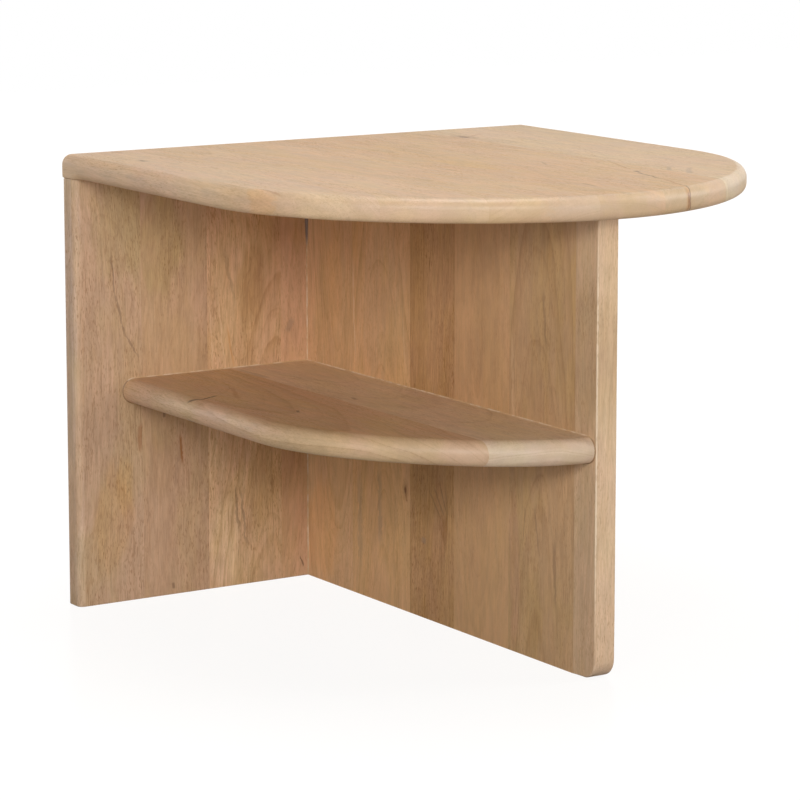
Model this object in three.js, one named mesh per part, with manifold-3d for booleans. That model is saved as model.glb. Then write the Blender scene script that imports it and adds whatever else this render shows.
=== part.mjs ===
// Side table with a D-shaped top on two upright panels that form a T, and a quarter-shaped shelf in the left bay.
// Millimetres, Z up. The origin is on the floor below the middle of the top. The flat edge faces +Y, the curve -Y.
import * as THREE from "three";
import { mergeVertices } from "three/addons/utils/BufferGeometryUtils.js";
import Module from "manifold-3d";

const wasm = await Module();
wasm.setup();

// The table as a whole
const table_height = 500;
const top_width = 615;
const top_depth = 625;

// Board thicknesses, and the film of glue between glued faces
const top_thickness = 25;
const panel_thickness = 25;
const shelf_thickness = 27;
const glue_line = 0.2;

// The top: straight sides, then a curve whose handles pull it fuller or flatter
const top_side_length = 332;
const top_handle_share = 0.49;
const top_upper_round = 11;
const top_under_round = 8;
const under_round_fade = 14;

// The back panel's upright corners
const panel_front_round = 7;
const panel_back_round = 4;

// The centre panel: where it stands along the width, how far it stays behind the curve, and its front edge
const centre_place_share = 0.5;
const centre_setback = 40;
const centre_edge_round = 2;
const centre_foot_radius = 20;
const centre_foot_fade = 20;

// The shelf: its upper face, its free end, and the curve of its front
const shelf_height = 250;
const shelf_end_inset = 58;
const shelf_side_length = 284;
const shelf_front_setback = 2.5;
const shelf_handle_share = 0.44;

// Fluted dowels in blind holes
const dowel_diameter = 8;
const dowel_length = 38;
const dowel_seat = 13;
const dowel_chamfer = 1;
const flute_depth = 0.35;
const hole_clearance = 0.3;
const hole_end_room = 1;

// Where the glued joints between boards fall, as shares of the panel from its left or rear edge
const top_joint_shares = [0.133, 0.268, 0.439, 0.569, 0.748, 0.907];
const back_joint_shares = [0.133, 0.268, 0.423, 0.57, 0.715, 0.86];
const centre_joint_shares = [0.173, 0.384, 0.539, 0.723, 0.932];
const shelf_joint_shares = [0.571];

// Where the dowels stand, as shares of the edge that they hold
const top_back_dowel_shares = [0.07, 0.35, 0.64, 0.93];
const top_centre_dowel_shares = [0.09, 0.466, 0.833];
const corner_dowel_shares = [0.12, 0.38, 0.64, 0.9];
const shelf_back_dowel_shares = [0.2, 0.5, 0.78];
const shelf_centre_dowel_shares = [0.12, 0.34, 0.62, 0.85];

// Counts of facets
const curve_steps = 24;
const round_steps = 5;
const foot_steps = 8;
const hole_sides = 24;
const flute_count = 10;
const flute_profile_shares = [0, 0, 1];

// Levels and faces that several pieces share
const left_x = -top_width / 2;
const right_x = top_width / 2;
const back_y = top_depth / 2;
const front_y = -top_depth / 2;
const top_under_z = table_height - top_thickness;
const panel_top_z = top_under_z - glue_line;
const panel_face_y = back_y - panel_thickness;
const centre_x = left_x + top_width * centre_place_share;
const centre_left_x = centre_x - panel_thickness / 2;
const centre_rear_y = panel_face_y - glue_line;
const centre_front_y = front_y + centre_setback;
const shelf_under_z = shelf_height - shelf_thickness;
const shelf_left_x = left_x + shelf_end_inset;
const shelf_right_x = centre_left_x - glue_line;
const shelf_rear_y = centre_rear_y;
const shelf_front_y = centre_front_y + shelf_front_setback;
const saw_reach = top_width + top_depth + table_height;

const wood = (colour) => new THREE.MeshStandardMaterial({ color: colour, roughness: 0.55, metalness: 0 });
const top_wood = wood(0xcfae8b);
const panel_wood = wood(0xae8560);
const shelf_wood = wood(0xb08c68);
const dowel_wood = wood(0xd9bd92);

// A closed geometry as a solid that can be cut
function solidOf(geometry) {
  const bare = geometry.clone();
  bare.deleteAttribute("normal");
  bare.deleteAttribute("uv");
  const merged = mergeVertices(bare);
  const vertProperties = merged.attributes.position.array;
  const triVerts = new Uint32Array(merged.index.array);
  return new wasm.Manifold(new wasm.Mesh({ numProp: 3, vertProperties, triVerts }));
}

function geometryOf(solid) {
  const { vertProperties, triVerts } = solid.getMesh();
  const geometry = new THREE.BufferGeometry();
  geometry.setAttribute("position", new THREE.BufferAttribute(vertProperties, 3));
  geometry.setIndex(new THREE.BufferAttribute(triVerts, 1));
  geometry.computeVertexNormals();
  return geometry;
}

// A point of an outline, with the way in from the edge and how much of the lower and upper round it gets
function outlinePoint(x, y, inward, lower_share, upper_share) {
  return { x, y, inward, lower_share, upper_share };
}

// Points along a quarter curve from a straight side to a straight front, each with its way in
function quarterCurve(side, front, handle_share) {
  const side_handle = new THREE.Vector2(side.x, side.y + (front.y - side.y) * handle_share);
  const front_handle = new THREE.Vector2(front.x + (side.x - front.x) * handle_share, front.y);
  const curve = new THREE.CubicBezierCurve(side, side_handle, front_handle, front);
  return Array.from({ length: curve_steps + 1 }, (_, i) => {
    const { x, y } = curve.getPoint(i / curve_steps);
    const tangent = curve.getTangent(i / curve_steps);
    return outlinePoint(x, y, new THREE.Vector2(-tangent.y, tangent.x), 1, 1);
  });
}

// The steps of a board's edge from its lower face to its upper one: how high, and how far drawn in.
// Each round is a quarter circle, and where the two rounds meet they make a bullnose.
function edgeSteps(thickness, lower_round, upper_round) {
  const angles = Array.from({ length: round_steps + 1 }, (_, i) => (Math.PI / 2) * (i / round_steps));
  const lower = angles.map((a) => ({
    z: lower_round * (1 - Math.cos(a)),
    lower_in: lower_round * (1 - Math.sin(a)),
    upper_in: 0,
  }));
  const upper = angles.toReversed().map((a) => ({
    z: thickness - upper_round * (1 - Math.cos(a)),
    lower_in: 0,
    upper_in: upper_round * (1 - Math.sin(a)),
  }));
  const bullnose = lower_round + upper_round >= thickness;
  return bullnose ? [...lower, ...upper.slice(1)] : [...lower, ...upper];
}

// A board in its own plane: the outline, counter-clockwise, is repeated at each step of the edge
function easedBoard(outline, thickness, lower_round, upper_round) {
  const rings = edgeSteps(thickness, lower_round, upper_round).map((step) =>
    outline.map((p) => {
      const draw = step.lower_in * p.lower_share + step.upper_in * p.upper_share;
      return [p.x + p.inward.x * draw, p.y + p.inward.y * draw, step.z];
    }),
  );
  const count = outline.length;
  const faces = [];
  for (let k = 0; k + 1 < rings.length; k++) {
    for (let i = 0; i < count; i++) {
      const j = (i + 1) % count;
      const [a, b, c, d] = [k * count + i, k * count + j, (k + 1) * count + j, (k + 1) * count + i];
      faces.push(a, b, c, a, c, d);
    }
  }
  const last = (rings.length - 1) * count;
  const flat = (ring) => ring.map(([x, y]) => new THREE.Vector2(x, y));
  for (const [a, b, c] of THREE.ShapeUtils.triangulateShape(flat(rings[0]), [])) faces.push(a, c, b);
  for (const [a, b, c] of THREE.ShapeUtils.triangulateShape(flat(rings.at(-1)), [])) {
    faces.push(last + a, last + b, last + c);
  }
  const geometry = new THREE.BufferGeometry();
  geometry.setAttribute("position", new THREE.Float32BufferAttribute(rings.flat(2), 3));
  geometry.setIndex(faces);
  return geometry;
}

// The D-shaped top. Its underside is rounded only where it hangs free, so the round fades in past the back panel.
function topSlab() {
  const side_end_y = back_y - top_side_length;
  const fade_end_y = panel_face_y - under_round_fade;
  const side = (x, inward_x) => [
    outlinePoint(x, back_y, new THREE.Vector2(inward_x, 0), 0, 1),
    outlinePoint(x, panel_face_y, new THREE.Vector2(inward_x, 0), 0, 1),
    outlinePoint(x, fade_end_y, new THREE.Vector2(inward_x, 0), 1, 1),
  ];
  const front = new THREE.Vector2(0, front_y);
  const left_curve = quarterCurve(new THREE.Vector2(left_x, side_end_y), front, top_handle_share);
  const right_curve = left_curve
    .slice(0, -1)
    .map((p) => outlinePoint(-p.x, p.y, new THREE.Vector2(-p.inward.x, p.inward.y), 1, 1))
    .toReversed();
  const outline = [...side(left_x, 1), ...left_curve, ...right_curve, ...side(right_x, -1).toReversed()];
  return easedBoard(outline, top_thickness, top_under_round, top_upper_round).translate(0, 0, top_under_z);
}

// The back panel is a plan with four round corners, drawn upwards
function backSlab() {
  const plan = new THREE.Shape();
  const corner = (x, y, radius, start) => {
    const middle_x = x - Math.sign(x) * radius;
    const middle_y = y === back_y ? y - radius : y + radius;
    plan.absarc(middle_x, middle_y, radius, start, start + Math.PI / 2, false);
  };
  corner(left_x, panel_face_y, panel_front_round, Math.PI);
  corner(right_x, panel_face_y, panel_front_round, Math.PI * 1.5);
  corner(right_x, back_y, panel_back_round, 0);
  corner(left_x, back_y, panel_back_round, Math.PI / 2);
  return new THREE.ExtrudeGeometry(plan, {
    depth: panel_top_z,
    bevelEnabled: false,
    curveSegments: round_steps,
  });
}

// The centre panel is drawn from the side: front edge down, round the foot, and back along the floor.
// Its eased edge follows the foot and dies away on the flat of the floor.
function centreSlab() {
  const foot = Array.from({ length: foot_steps + 1 }, (_, i) => {
    const angle = Math.PI + (Math.PI / 2) * (i / foot_steps);
    const outward = new THREE.Vector2(Math.cos(angle), Math.sin(angle));
    const y = centre_front_y + centre_foot_radius + outward.x * centre_foot_radius;
    const z = centre_foot_radius + outward.y * centre_foot_radius;
    return outlinePoint(y, z, outward.negate(), 1, 1);
  });
  const up = new THREE.Vector2(0, 1);
  const outline = [
    outlinePoint(centre_front_y, panel_top_z, new THREE.Vector2(1, 0), 1, 1),
    ...foot,
    outlinePoint(centre_front_y + centre_foot_radius + centre_foot_fade, 0, up, 0, 0),
    outlinePoint(centre_rear_y, 0, up, 0, 0),
    outlinePoint(centre_rear_y, panel_top_z, up, 0, 0),
  ];
  const board = easedBoard(outline, panel_thickness, centre_edge_round, centre_edge_round);
  const stand = new THREE.Matrix4().makeBasis(
    new THREE.Vector3(0, 1, 0),
    new THREE.Vector3(0, 0, 1),
    new THREE.Vector3(1, 0, 0),
  );
  return board.applyMatrix4(stand).translate(centre_left_x, 0, 0);
}

// The shelf is a quarter of a D, fitted square against both panels, with a bullnose along its free edge
function shelfSlab() {
  const side_end = new THREE.Vector2(shelf_left_x, shelf_rear_y - shelf_side_length);
  const front_end = new THREE.Vector2(shelf_right_x, shelf_front_y);
  const square = new THREE.Vector2(0, 0);
  const outline = [
    outlinePoint(shelf_left_x, shelf_rear_y, new THREE.Vector2(1, 0), 1, 1),
    ...quarterCurve(side_end, front_end, shelf_handle_share),
    outlinePoint(shelf_right_x, shelf_rear_y, square, 0, 0),
  ];
  const nose = shelf_thickness / 2;
  return easedBoard(outline, shelf_thickness, nose, nose).translate(0, 0, shelf_under_z);
}

// Saws a slab into boards along X or Y, and leaves a glue line between neighbours
function sawIntoBoards(slab, axis, start, end, joint_shares) {
  const whole = solidOf(slab);
  const direction = Math.sign(end - start);
  const joints = joint_shares.map((share) => start + (end - start) * share);
  const edges = [start - direction * saw_reach, ...joints, end + direction * saw_reach];
  return edges.slice(1).map((edge, i) => {
    const [low, high] = [edges[i], edge].sort((a, b) => a - b);
    const width = high - low - glue_line;
    const size = axis === "x" ? [width, saw_reach] : [saw_reach, width];
    const block = new THREE.BoxGeometry(...size, saw_reach * 2);
    const middle = (low + high) / 2;
    block.translate(axis === "x" ? middle : 0, axis === "x" ? 0 : middle, 0);
    return whole.intersect(solidOf(block));
  });
}

// Dowels: the point where each crosses its joint, and the way from the face it is sunk in to the edge it holds
function dowelPlaces() {
  const between = (start, end, shares) => shares.map((share) => start + (end - start) * share);
  const down = new THREE.Vector3(0, 0, -1);
  const forward = new THREE.Vector3(0, -1, 0);
  const leftward = new THREE.Vector3(-1, 0, 0);
  const shelf_middle_z = shelf_height - shelf_thickness / 2;
  const panel_middle_y = back_y - panel_thickness / 2;
  const rows = [
    [
      "top_dowel_back",
      down,
      between(left_x, right_x, top_back_dowel_shares).map((x) => [x, panel_middle_y, top_under_z]),
    ],
    [
      "top_dowel_centre",
      down,
      between(centre_rear_y, centre_front_y, top_centre_dowel_shares).map((y) => [centre_x, y, top_under_z]),
    ],
    [
      "corner_dowel",
      forward,
      between(0, panel_top_z, corner_dowel_shares).map((z) => [centre_x, panel_face_y, z]),
    ],
    [
      "shelf_dowel_back",
      forward,
      between(shelf_left_x, shelf_right_x, shelf_back_dowel_shares).map((x) => [x, panel_face_y, shelf_middle_z]),
    ],
    [
      "shelf_dowel_centre",
      leftward,
      between(shelf_rear_y, shelf_front_y, shelf_centre_dowel_shares).map((y) => [centre_left_x, y, shelf_middle_z]),
    ],
  ];
  return rows.flatMap(([name, way, points]) =>
    points.map((point, i) => ({ name: `${name}_${i + 1}`, way, joint: new THREE.Vector3(...point) })),
  );
}

// A dowel's blank is centred on its own middle, along Z: flutes round it and a chamfer at both ends
function dowelGeometry() {
  const radius = dowel_diameter / 2;
  const count = flute_count * flute_profile_shares.length;
  const outline = Array.from({ length: count }, (_, i) => {
    const angle = (2 * Math.PI * i) / count;
    const reach = radius - flute_depth * flute_profile_shares[i % flute_profile_shares.length];
    return new THREE.Vector2(Math.cos(angle) * reach, Math.sin(angle) * reach);
  });
  const shank = dowel_length - 2 * dowel_chamfer;
  const geometry = new THREE.ExtrudeGeometry(new THREE.Shape(outline), {
    depth: shank,
    bevelThickness: dowel_chamfer,
    bevelSize: dowel_chamfer,
    bevelOffset: -dowel_chamfer,
    bevelSegments: 1,
  });
  return geometry.translate(0, 0, -shank / 2);
}

function dowelMiddle(place) {
  return place.joint.clone().addScaledVector(place.way, dowel_length / 2 - dowel_seat);
}

function turnTo(way) {
  return new THREE.Quaternion().setFromUnitVectors(new THREE.Vector3(0, 0, 1), way);
}

// The blind holes on both sides of a joint, as one drill that is as long as the dowel and the room past its ends
function drillFor(place) {
  const radius = dowel_diameter / 2 + hole_clearance;
  const length = dowel_length + 2 * hole_end_room;
  const drill = new THREE.CylinderGeometry(radius, radius, length, hole_sides).rotateX(Math.PI / 2);
  const middle = dowelMiddle(place);
  return solidOf(drill.applyQuaternion(turnTo(place.way)).translate(middle.x, middle.y, middle.z));
}

function boardMeshes(name, boards, drills, material) {
  return boards.map((board, i) => {
    const drilled = drills.reduce((solid, drill) => solid.subtract(drill), board);
    const mesh = new THREE.Mesh(geometryOf(drilled), material);
    mesh.name = `${name}_board_${i + 1}`;
    return mesh;
  });
}

function dowelMeshes(places) {
  const geometry = dowelGeometry();
  return places.map((place) => {
    const mesh = new THREE.Mesh(geometry, dowel_wood);
    mesh.name = place.name;
    mesh.position.copy(dowelMiddle(place));
    mesh.quaternion.copy(turnTo(place.way));
    return mesh;
  });
}

function sideTable() {
  const places = dowelPlaces();
  const drills = places.map(drillFor);
  const top = sawIntoBoards(topSlab(), "x", left_x, right_x, top_joint_shares);
  const back = sawIntoBoards(backSlab(), "x", left_x, right_x, back_joint_shares);
  const centre = sawIntoBoards(centreSlab(), "y", centre_rear_y, centre_front_y, centre_joint_shares);
  const shelf = sawIntoBoards(shelfSlab(), "x", shelf_left_x, shelf_right_x, shelf_joint_shares);
  const table = new THREE.Group();
  table.add(...boardMeshes("top", top, drills, top_wood));
  table.add(...boardMeshes("back_panel", back, drills, panel_wood));
  table.add(...boardMeshes("centre_panel", centre, drills, panel_wood));
  table.add(...boardMeshes("shelf", shelf, drills, shelf_wood));
  table.add(...dowelMeshes(places));
  return table;
}

export default sideTable();
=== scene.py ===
# %% [markdown]
# # A D-shaped side table in edge-glued hardwood
#
# The table is four slabs: a top shaped like a D, a back panel under its flat edge, a centre panel that makes
# the base a T, and a shelf shaped like a quarter of the top. Each is glued up from boards that differ in
# tone and grain. So each slab is made here as one exact surface and sawn into its boards, and every board
# gets a finish of its own.

import math

import bmesh
import bpy
import numpy as np
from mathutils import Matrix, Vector


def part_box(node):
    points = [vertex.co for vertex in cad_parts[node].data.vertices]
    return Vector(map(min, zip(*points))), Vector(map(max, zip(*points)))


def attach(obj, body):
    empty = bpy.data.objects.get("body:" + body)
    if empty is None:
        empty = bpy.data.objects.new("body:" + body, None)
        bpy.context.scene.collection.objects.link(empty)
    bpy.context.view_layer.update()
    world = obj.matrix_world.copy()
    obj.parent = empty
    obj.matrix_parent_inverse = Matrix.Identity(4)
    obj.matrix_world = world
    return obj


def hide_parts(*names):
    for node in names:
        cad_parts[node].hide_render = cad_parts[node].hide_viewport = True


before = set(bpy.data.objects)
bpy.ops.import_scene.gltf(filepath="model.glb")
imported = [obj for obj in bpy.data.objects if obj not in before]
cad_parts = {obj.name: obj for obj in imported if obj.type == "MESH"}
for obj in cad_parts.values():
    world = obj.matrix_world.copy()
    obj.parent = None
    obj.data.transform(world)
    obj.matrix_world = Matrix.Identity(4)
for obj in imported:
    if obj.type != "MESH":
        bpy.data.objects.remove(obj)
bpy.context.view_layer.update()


# %% [markdown]
# ## Sizes
#
# The slabs' outer sizes and their glued joints are read from the frame. What a bounding box can't tell, such
# as how the curves are drawn and how far edges are rounded, is written here in metres.

# %% Slab boxes and joints from the frame
MM = 0.001


def boards_of(family):
    """The names of one slab's boards in the frame."""
    return [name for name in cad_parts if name.startswith(family + "_board_")]


def slab_box(family):
    """Lowest and highest corner of all boards of a slab together."""
    boxes = [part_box(name) for name in boards_of(family)]
    low = np.min([list(b[0]) for b in boxes], axis=0)
    high = np.max([list(b[1]) for b in boxes], axis=0)
    return low, high


def joints_of(family, axis):
    """The planes between neighbouring boards, halfway across each glue line, from low to high."""
    boxes = sorted((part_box(name)[0][axis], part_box(name)[1][axis]) for name in boards_of(family))
    return [(a[1] + b[0]) / 2 for a, b in zip(boxes, boxes[1:])]


TOP_LOW, TOP_HIGH = slab_box("top")
BACK_LOW, BACK_HIGH = slab_box("back_panel")
CENTRE_LOW, CENTRE_HIGH = slab_box("centre_panel")
SHELF_LOW, SHELF_HIGH = slab_box("shelf")
for family in ("top", "back_panel", "centre_panel", "shelf"):
    print(family, "has", len(boards_of(family)), "boards")

# %% Sizes that only a drawing tells
TOP_SIDE_LENGTH = 332 * MM
TOP_HANDLE_SHARE = 0.49
TOP_UPPER_ROUND = 11 * MM
TOP_UNDER_ROUND = 8 * MM
UNDER_ROUND_FADE = 14 * MM
PANEL_FRONT_ROUND = 7 * MM
PANEL_BACK_ROUND = 4 * MM
CENTRE_EDGE_ROUND = 2 * MM
CENTRE_FOOT_RADIUS = 20 * MM
CENTRE_FOOT_FADE = 20 * MM
SHELF_SIDE_LENGTH = 284 * MM
SHELF_HANDLE_SHARE = 0.44
ARRIS = 0.5 * MM
END_ARRIS = 1.4 * MM
GLUE_FILM = 0.03 * MM

# %% [markdown]
# ## Camera, light and floor
#
# The photograph was taken with a long lens from the left of the curved front, a little above the top and
# nearly level, which a small vertical shift does here. Two soft sources reach into the open bay, low ones
# keep the edges bright, one overhead lights the top, a small one puts gloss on its rounded edge, and large
# ones to the right and behind leave no side black.

# %% Camera at the photograph's angle
def put_in_scene(name, data):
    """Makes an object of some data and puts it in the scene."""
    thing = bpy.data.objects.new(name, data)
    bpy.context.scene.collection.objects.link(thing)
    return thing


PICTURE = 800
FOCAL_PIXELS = 3409
SENSOR = 36
camera_turn, camera_rise = math.radians(-32.68), math.radians(8.97)
camera_aim = Vector((27.9, 155.5, 310.2)) * MM
camera_distance = 3.780

camera_data = bpy.data.cameras.new("camera")
camera_data.sensor_width = SENSOR
camera_data.lens = FOCAL_PIXELS / PICTURE * SENSOR
camera_data.shift_y = -0.1
camera = put_in_scene("camera", camera_data)
level = math.cos(camera_rise)
backwards = Vector((math.sin(camera_turn) * level, -math.cos(camera_turn) * level, math.sin(camera_rise)))
camera.location = camera_aim + backwards * camera_distance
camera.rotation_mode = "QUATERNION"
camera.rotation_quaternion = backwards.to_track_quat("Z", "Y")
bpy.context.scene.camera = camera
bpy.context.scene.view_settings.view_transform = "Standard"
print("camera at", [round(v, 3) for v in camera.location], "lens", round(camera_data.lens, 1), "mm")


# %% Lamps
TABLE_MIDDLE = Vector((0, 0, 0.3))
LAMPS = [
    ("left front", (-2.5, -2.1, 1.5), 0.8, 30),
    ("front", (-1.2, -3.0, 1.3), 0.8, 31),
    ("low front", (0.6, -3.2, 0.6), 0.8, 16),
    ("left", (-3.2, -0.8, 0.8), 0.8, 11),
    ("right", (2.6, -1.2, 1.2), 1.6, 32),
    ("overhead", (0.1, 0.1, 2.6), 1.1, 23),
    ("ridge", (1.55, -0.95, 2.3), 0.4, 6.5),
    ("rear", (-1.3, 2.6, 0.7), 1.6, 12),
]
for name, place, size, watts in LAMPS:
    lamp_data = bpy.data.lights.new(name + " softbox", "AREA")
    lamp_data.size = size
    lamp_data.energy = watts
    lamp = put_in_scene(name + " softbox", lamp_data)
    lamp.location = place
    lamp.rotation_mode = "QUATERNION"
    lamp.rotation_quaternion = (Vector(place) - TABLE_MIDDLE).to_track_quat("Z", "Y")
print("softboxes:", [lamp[0] for lamp in LAMPS])


# %% [markdown]
# ## Reckoning with wires
#
# A material is a graph of nodes. Here the output of a node is a wire, and arithmetic on wires adds the nodes
# that work it out, so that a formula reads as a formula.

# %% Wires
class Wire:
    """An output of a node. Arithmetic with it adds a node and gives that node's output."""

    def __init__(self, socket):
        self.socket = socket
        self.tree = socket.id_data

    def __add__(self, other):
        return step("ADD", self, other)

    __radd__ = __add__

    def __sub__(self, other):
        return step("SUBTRACT", self, other)

    def __rsub__(self, other):
        return step("SUBTRACT", other, self)

    def __mul__(self, other):
        return step("MULTIPLY", self, other)

    def __truediv__(self, other):
        return step("DIVIDE", self, other)

    def __pow__(self, other):
        return step("POWER", self, other)

    def __rpow__(self, other):
        return step("POWER", other, self)


def is_vector(value):
    """Whether a value or a wire is a vector."""
    return value.socket.type == "VECTOR" if isinstance(value, Wire) else isinstance(value, tuple)


def tree_of(values):
    """The node tree in which the wires among these values lie."""
    return next(value.tree for value in values if isinstance(value, Wire))


def plug(socket, value):
    """Links a wire to a socket, or sets the socket to a plain value."""
    if isinstance(value, Wire):
        value.tree.links.new(value.socket, socket)
    elif socket.type == "RGBA":
        socket.default_value = (*value, 1)
    elif socket.type == "VECTOR" and not isinstance(value, tuple):
        socket.default_value = (value, value, value)
    else:
        socket.default_value = value


def plug_all(sockets, values):
    """Plugs values into sockets in their order, as far as both go."""
    for socket, value in zip(sockets, values):
        plug(socket, value)


def step(operation, *values):
    """One arithmetic step, on vectors if any value is one. Lengths and dot products come out as numbers."""
    kind = "ShaderNodeVectorMath" if any(map(is_vector, values)) else "ShaderNodeMath"
    node = tree_of(values).nodes.new(kind)
    node.operation = operation
    plug_all(node.inputs, values)
    return Wire(node.outputs["Value" if operation in ("DOT_PRODUCT", "LENGTH") else 0])


# %% Nodes by name
def add(tree, kind, output=0, options=None, **inputs):
    """Adds a shader node and gives one of its outputs. Inputs are named as in the editor, with _ for a
    space."""
    node = tree.nodes.new("ShaderNode" + kind)
    for option, value in (options or {}).items():
        setattr(node, option, value)
    for name, value in inputs.items():
        plug(node.inputs[name.replace("_", " ")], value)
    return Wire(node.outputs[output])


def parts(vector):
    """The three parts of a vector."""
    node = vector.tree.nodes.new("ShaderNodeSeparateXYZ")
    plug(node.inputs[0], vector)
    return [Wire(output) for output in node.outputs]


def vector_of(x, y=0.0, z=0.0):
    """A vector from three numbers, of which the first is a wire."""
    return add(x.tree, "CombineXYZ", X=x, Y=y, Z=z)


def blend(factor, a, b, mode="MIX"):
    """Mixes two colours."""
    node = tree_of((factor, a, b)).nodes.new("ShaderNodeMix")
    node.data_type, node.blend_type = "RGBA", mode
    plug_all([node.inputs[index] for index in (0, 6, 7)], (factor, a, b))
    return Wire(node.outputs[2])


def tinted(colour, tint, amount=1.0):
    """A colour multiplied by a tint, to the amount given."""
    return blend(amount, colour, tint, "MULTIPLY")


def ease(value, low, high):
    """Rises smoothly from 0 at low to 1 at high, and falls instead if low is the larger."""
    options = {"interpolation_type": "SMOOTHSTEP"}
    return add(value.tree, "MapRange", 0, options, Value=value, From_Min=low, From_Max=high)


def noise(place, stretch, detail=2.0, rough=0.5):
    """Noise whose grains per metre along the three directions are given by stretch."""
    scaled = place * stretch
    return add(place.tree, "TexNoise", Vector=scaled, Scale=1.0, Detail=detail, Roughness=rough)


def swing(place, stretch, reach, detail=1.0):
    """Noise that swings to both sides of zero, by half of reach at most."""
    return (noise(place, stretch, detail) - 0.5) * reach


def new_material(name):
    """An empty material with its Principled shader."""
    material = bpy.data.materials.new(name)
    material.use_nodes = True
    tree = material.node_tree
    return material, tree, tree.nodes["Principled BSDF"]


# %% Node groups from functions
NUMBER, VECTOR, COLOUR = "NodeSocketFloat", "NodeSocketVector", "NodeSocketColor"


def node_group(title, **outputs):
    """Turns a function of wires into a shader node group, built once. Its arguments become named inputs, and
    what it returns becomes the outputs. Calling it later places the group and gives its outputs."""

    def build(draw):
        tree = bpy.data.node_groups.new(title, "ShaderNodeTree")
        kinds = draw.__annotations__
        for name, kind in kinds.items():
            label = name.replace("_", " ").capitalize()
            tree.interface.new_socket(name=label, in_out="INPUT", socket_type=kind)
        for label, kind in outputs.items():
            tree.interface.new_socket(name=label, in_out="OUTPUT", socket_type=kind)
        given = tree.nodes.new("NodeGroupInput").outputs
        drawn = draw(*[Wire(socket) for socket, _ in zip(given, kinds)])
        plug_all(tree.nodes.new("NodeGroupOutput").inputs, drawn if isinstance(drawn, tuple) else [drawn])

        def place_group(*values):
            node = tree_of(values).nodes.new("ShaderNodeGroup")
            node.node_tree = tree
            plug_all(node.inputs, values)
            wires = [Wire(socket) for socket in node.outputs]
            return wires if len(wires) > 1 else wires[0]

        return place_group

    return build


# %% [markdown]
# ## Floor and backdrop
#
# To the camera the floor is mostly plain white, so it joins the backdrop without a horizon, and near the
# table a part of its own shading keeps the soft shadow.

# %% White surroundings
NEAR_WHITE, FAR_WHITE = 0.86, 1.0
WORLD_FILL = 0.01


def mixed_shader(factor, first, second):
    """Mixes two shaders."""
    node = factor.tree.nodes.new("ShaderNodeMixShader")
    plug_all(node.inputs, (factor, first, second))
    return Wire(node.outputs[0])


def floor_material():
    """The lamps light a mid grey, which throws little light up under the top and the shelf. The camera sees
    a pale, faintly glossy floor, mixed with a hair over plain white by a share that grows away from the
    table."""
    material, tree, grey = new_material("pale floor")
    grey.inputs["Base Color"].default_value = (0.40, 0.395, 0.385, 1)
    grey.inputs["Roughness"].default_value = 0.5
    pale = add(tree, "BsdfPrincipled", Base_Color=(0.95, 0.93, 0.90), Roughness=0.2)
    white = add(tree, "Emission", Color=(1, 0.993, 0.985), Strength=1.06)
    away = step("LENGTH", add(tree, "TexCoord", "Object"))
    share = ease(away, 0.3, 0.9) * (FAR_WHITE - NEAR_WHITE) + NEAR_WHITE
    shown = mixed_shader(share, pale, white)
    seen = add(tree, "LightPath", "Is Camera Ray")
    plug(tree.nodes["Material Output"].inputs["Surface"], mixed_shader(seen, Wire(grey.outputs[0]), shown))
    return material


FLOOR_HALF = 6.0
floor_mesh = bpy.data.meshes.new("floor")
corners = [(x * FLOOR_HALF, y * FLOOR_HALF, 0) for x, y in ((-1, -1), (1, -1), (1, 1), (-1, 1))]
floor_mesh.from_pydata(corners, [], [(0, 1, 2, 3)])
floor_mesh.materials.append(floor_material())
floor = put_in_scene("floor", floor_mesh)

world = bpy.data.worlds.new("studio")
bpy.context.scene.world = world
world.use_nodes = True
rays = world.node_tree.nodes.new("ShaderNodeLightPath").outputs
seen, mirrored, passed = [Wire(rays[f"Is {kind} Ray"]) for kind in ("Camera", "Glossy", "Transmission")]
direct = step("MAXIMUM", step("MAXIMUM", seen, mirrored), passed)
backdrop = world.node_tree.nodes["Background"].inputs
plug(backdrop["Color"], (1, 1, 1))
plug(backdrop["Strength"], direct * (1 - WORLD_FILL) + WORLD_FILL)
print("floor and world are white to the camera")


# %% [markdown]
# ## Surfaces: a profile carried along an outline
#
# Every slab is an outline seen from above, and a profile through its edge with a quarter round above and one
# below. Carrying the profile along the outline gives the whole edge, and the two rims left are closed flat.
# A Bevel modifier couldn't change its rounds along the way, as the top's underside does where it meets the
# back panel.

# %% Outlines
CURVE_STEPS = 110
SIDE_STEPS = 40


def straight(start, end, inward, steps):
    """Even points on a straight edge, all with the same way in."""
    t = np.linspace(0, 1, steps + 1)[:, None]
    points = np.array(start) * (1 - t) + np.array(end) * t
    return points, np.tile(np.array(inward, float), (steps + 1, 1))


def quarter_curve(side, front, handle_share, steps):
    """A quarter turn from a straight side to a straight front, as one cubic curve whose two handles run
    towards the corner by the same share of the way. The way in is the tangent turned a quarter left."""
    side, front = np.array(side), np.array(front)
    side_handle = np.array([side[0], side[1] + (front[1] - side[1]) * handle_share])
    front_handle = np.array([front[0] + (side[0] - front[0]) * handle_share, front[1]])
    t = np.linspace(0, 1, steps + 1)[:, None]
    early = (1 - t) ** 3 * side + 3 * (1 - t) ** 2 * t * side_handle
    late = 3 * (1 - t) * t**2 * front_handle + t**3 * front
    tangent = (1 - t) ** 2 * (side_handle - side) + 2 * (1 - t) * t * (front_handle - side_handle)
    tangent = tangent + t**2 * (front - front_handle)
    tangent = tangent / np.linalg.norm(tangent, axis=1, keepdims=True)
    return early + late, np.stack([-tangent[:, 1], tangent[:, 0]], axis=1)


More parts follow.
